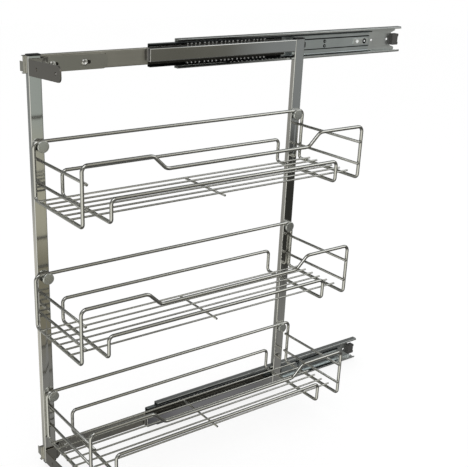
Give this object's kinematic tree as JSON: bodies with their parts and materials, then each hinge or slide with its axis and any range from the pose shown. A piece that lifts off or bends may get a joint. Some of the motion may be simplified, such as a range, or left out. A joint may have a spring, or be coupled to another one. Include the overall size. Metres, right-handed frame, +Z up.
{
  "type": "pull out pantry frame",
  "caption": "Side-hung pull-out cabinet frame of chromed flat tube with hook-on wire baskets, on ball-bearing slides above and below, with angled door brackets.",
  "frame": {"origin": "middle of the upper outer rail's outermost pair of wall screw holes, on the face that lies on the cabinet's side wall", "axes": "+X runs into the cabinet, so the frame pulls out along -X; +Y points into the side wall; +Z up"},
  "size_m": [0.7691, 0.1758, 0.6855],
  "materials": {
    "chrome_tube": "bright chrome plating on flat tube",
    "basket_wire": "bright chrome plating on round wire",
    "bracket_plate": "bright plated sheet",
    "outer_rail_zinc": "bluish bright zinc on rolled steel",
    "middle_rail_zinc": "bluish bright zinc on rolled steel",
    "inner_rail_zinc": "bluish bright zinc on rolled steel",
    "clip_steel": "bright zinc",
    "cage_steel": "zinc-plated strip",
    "ball_steel": "polished steel balls",
    "screw_metal": "bright plated screws",
    "stud_metal": "bright plated round heads",
    "black_plastic": "black moulded plugs",
    "bumper_plastic": "brown-black moulded plastic"
  },
  "bodies": {
    "rails": {"upper_outer_rail": "outer_rail_zinc", "upper_rail_bumper": "bumper_plastic", "lower_outer_rail": "outer_rail_zinc", "lower_rail_bumper": "bumper_plastic"},
    "upper_middle": {"upper_middle_rail": "middle_rail_zinc", "upper_middle_clip": "clip_steel"},
    "frame": {"front_post": "chrome_tube", "rear_post": "chrome_tube", "upper_tube": "chrome_tube", "lower_tube": "chrome_tube", "post_caps": "black_plastic", "basket_studs": "stud_metal", "bracket_screws": "screw_metal", "rail_screws": "screw_metal", "upper_inner_rail": "inner_rail_zinc", "lower_inner_rail": "inner_rail_zinc", "upper_door_bracket": "bracket_plate", "lower_door_bracket": "bracket_plate"},
    "lower_middle": {"lower_middle_rail": "middle_rail_zinc", "lower_middle_clip": "clip_steel"},
    "upper_outer_ball_cage": {"upper_outer_cage": "cage_steel", "upper_outer_balls": "ball_steel"},
    "upper_inner_ball_cage": {"upper_inner_cage": "cage_steel", "upper_inner_balls": "ball_steel"},
    "lower_outer_ball_cage": {"lower_outer_cage": "cage_steel", "lower_outer_balls": "ball_steel"},
    "lower_inner_ball_cage": {"lower_inner_cage": "cage_steel", "lower_inner_balls": "ball_steel"},
    "top_basket": {"top_basket_frame_loop": "basket_wire", "top_basket_rail_loop": "basket_wire", "top_basket_side_wires": "basket_wire", "top_basket_floor_wires": "basket_wire", "top_basket_cross_wire": "basket_wire"},
    "centre_basket": {"centre_basket_frame_loop": "basket_wire", "centre_basket_rail_loop": "basket_wire", "centre_basket_side_wires": "basket_wire", "centre_basket_floor_wires": "basket_wire", "centre_basket_cross_wire": "basket_wire"},
    "bottom_basket": {"bottom_basket_frame_loop": "basket_wire", "bottom_basket_rail_loop": "basket_wire", "bottom_basket_side_wires": "basket_wire", "bottom_basket_floor_wires": "basket_wire", "bottom_basket_cross_wire": "basket_wire"}
  },
  "joints": [
    {"name": "upper_middle_slide", "type": "slide", "parent": "rails", "child": "upper_middle", "axis": [-1, 0, 0], "range_m": [-0.023, 0.197]},
    {"name": "frame_slide", "type": "slide", "parent": "upper_middle", "child": "frame", "axis": [-1, 0, 0], "range_m": [-0.204, 0.046]},
    {"name": "lower_middle_slide", "type": "slide", "parent": "frame", "child": "lower_middle", "axis": [-1, 0, 0], "range_m": [-0.046, 0.204]},
    {"name": "upper_outer_cage_slide", "type": "slide", "parent": "rails", "child": "upper_outer_ball_cage", "axis": [-1, 0, 0], "range_m": [-0.0115, 0.0985]},
    {"name": "lower_outer_cage_slide", "type": "slide", "parent": "rails", "child": "lower_outer_ball_cage", "axis": [-1, 0, 0], "range_m": [-0.0115, 0.0985]},
    {"name": "upper_inner_cage_slide", "type": "slide", "parent": "upper_middle", "child": "upper_inner_ball_cage", "axis": [-1, 0, 0], "range_m": [-0.102, 0.023]},
    {"name": "lower_inner_cage_slide", "type": "slide", "parent": "lower_middle", "child": "lower_inner_ball_cage", "axis": [-1, 0, 0], "range_m": [-0.102, 0.023]},
    {"name": "top_basket_lift", "type": "slide", "parent": "frame", "child": "top_basket", "axis": [0, 0, 1], "range_m": [0, 0.007]},
    {"name": "centre_basket_lift", "type": "slide", "parent": "frame", "child": "centre_basket", "axis": [0, 0, 1], "range_m": [0, 0.007]},
    {"name": "bottom_basket_lift", "type": "slide", "parent": "frame", "child": "bottom_basket", "axis": [0, 0, 1], "range_m": [0, 0.007]}
  ],
  "couplings": [
    {"joint": "lower_middle_slide", "follows": "frame_slide", "ratio": -1},
    {"joint": "upper_outer_cage_slide", "follows": "upper_middle_slide", "ratio": 0.5},
    {"joint": "lower_outer_cage_slide", "follows": "upper_middle_slide", "ratio": 0.5},
    {"joint": "upper_inner_cage_slide", "follows": "frame_slide", "ratio": 0.5},
    {"joint": "lower_inner_cage_slide", "follows": "frame_slide", "ratio": 0.5}
  ]
}
